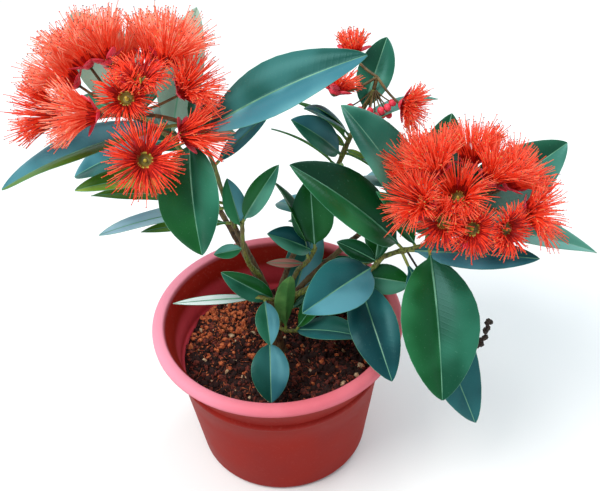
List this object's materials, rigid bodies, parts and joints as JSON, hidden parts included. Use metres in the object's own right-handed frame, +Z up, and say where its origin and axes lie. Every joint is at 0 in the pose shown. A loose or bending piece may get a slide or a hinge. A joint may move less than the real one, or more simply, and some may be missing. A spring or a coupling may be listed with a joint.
{
  "type": "potted red-flowered penda shrub",
  "caption": "Small flowering shrub with thick glossy leaves and red brush-like flower heads, growing in potting mix in a round tapered plastic pot.",
  "frame": {"origin": "centre of the pot's flat underside", "axes": "+Z up, -Y towards the front of the picture, +X to its right"},
  "size_m": [0.4151, 0.2473, 0.3959],
  "materials": {
    "pot_plastic": "moulded pink-brown plastic with a soft sheen, lighter at the lip",
    "potting_mix": "moist crumbly coir and bark fines",
    "bark": "thin olive-brown bark with fine ridges",
    "leaf": "glossy dark green with a pale midrib and a blue sheen",
    "blossom": "soft orange-red stamens, deeper red towards the middle"
  },
  "bodies": {
    "root": {"pot": "pot_plastic", "soil": "potting_mix", "trunk": "bark", "left_bough": "bark", "right_bough": "bark", "back_bough": "bark", "centre_bough": "bark", "inner_left_bough": "bark", "rear_left_bough": "bark", "rear_right_bough": "bark", "left_shoot": "leaf", "inner_left_shoot": "leaf", "centre_shoot": "leaf", "right_inner_shoot": "leaf", "right_shoot": "leaf", "back_shoot": "leaf", "rear_left_shoot": "leaf", "rear_right_shoot": "leaf", "rear_middle_shoot": "leaf", "low_left_shoot": "leaf", "low_front_shoot": "leaf", "low_right_shoot": "leaf", "low_rear_shoot": "leaf", "left_flower_head": "blossom", "right_flower_head": "blossom", "back_flower_head": "blossom"}
  },
  "joints": []
}
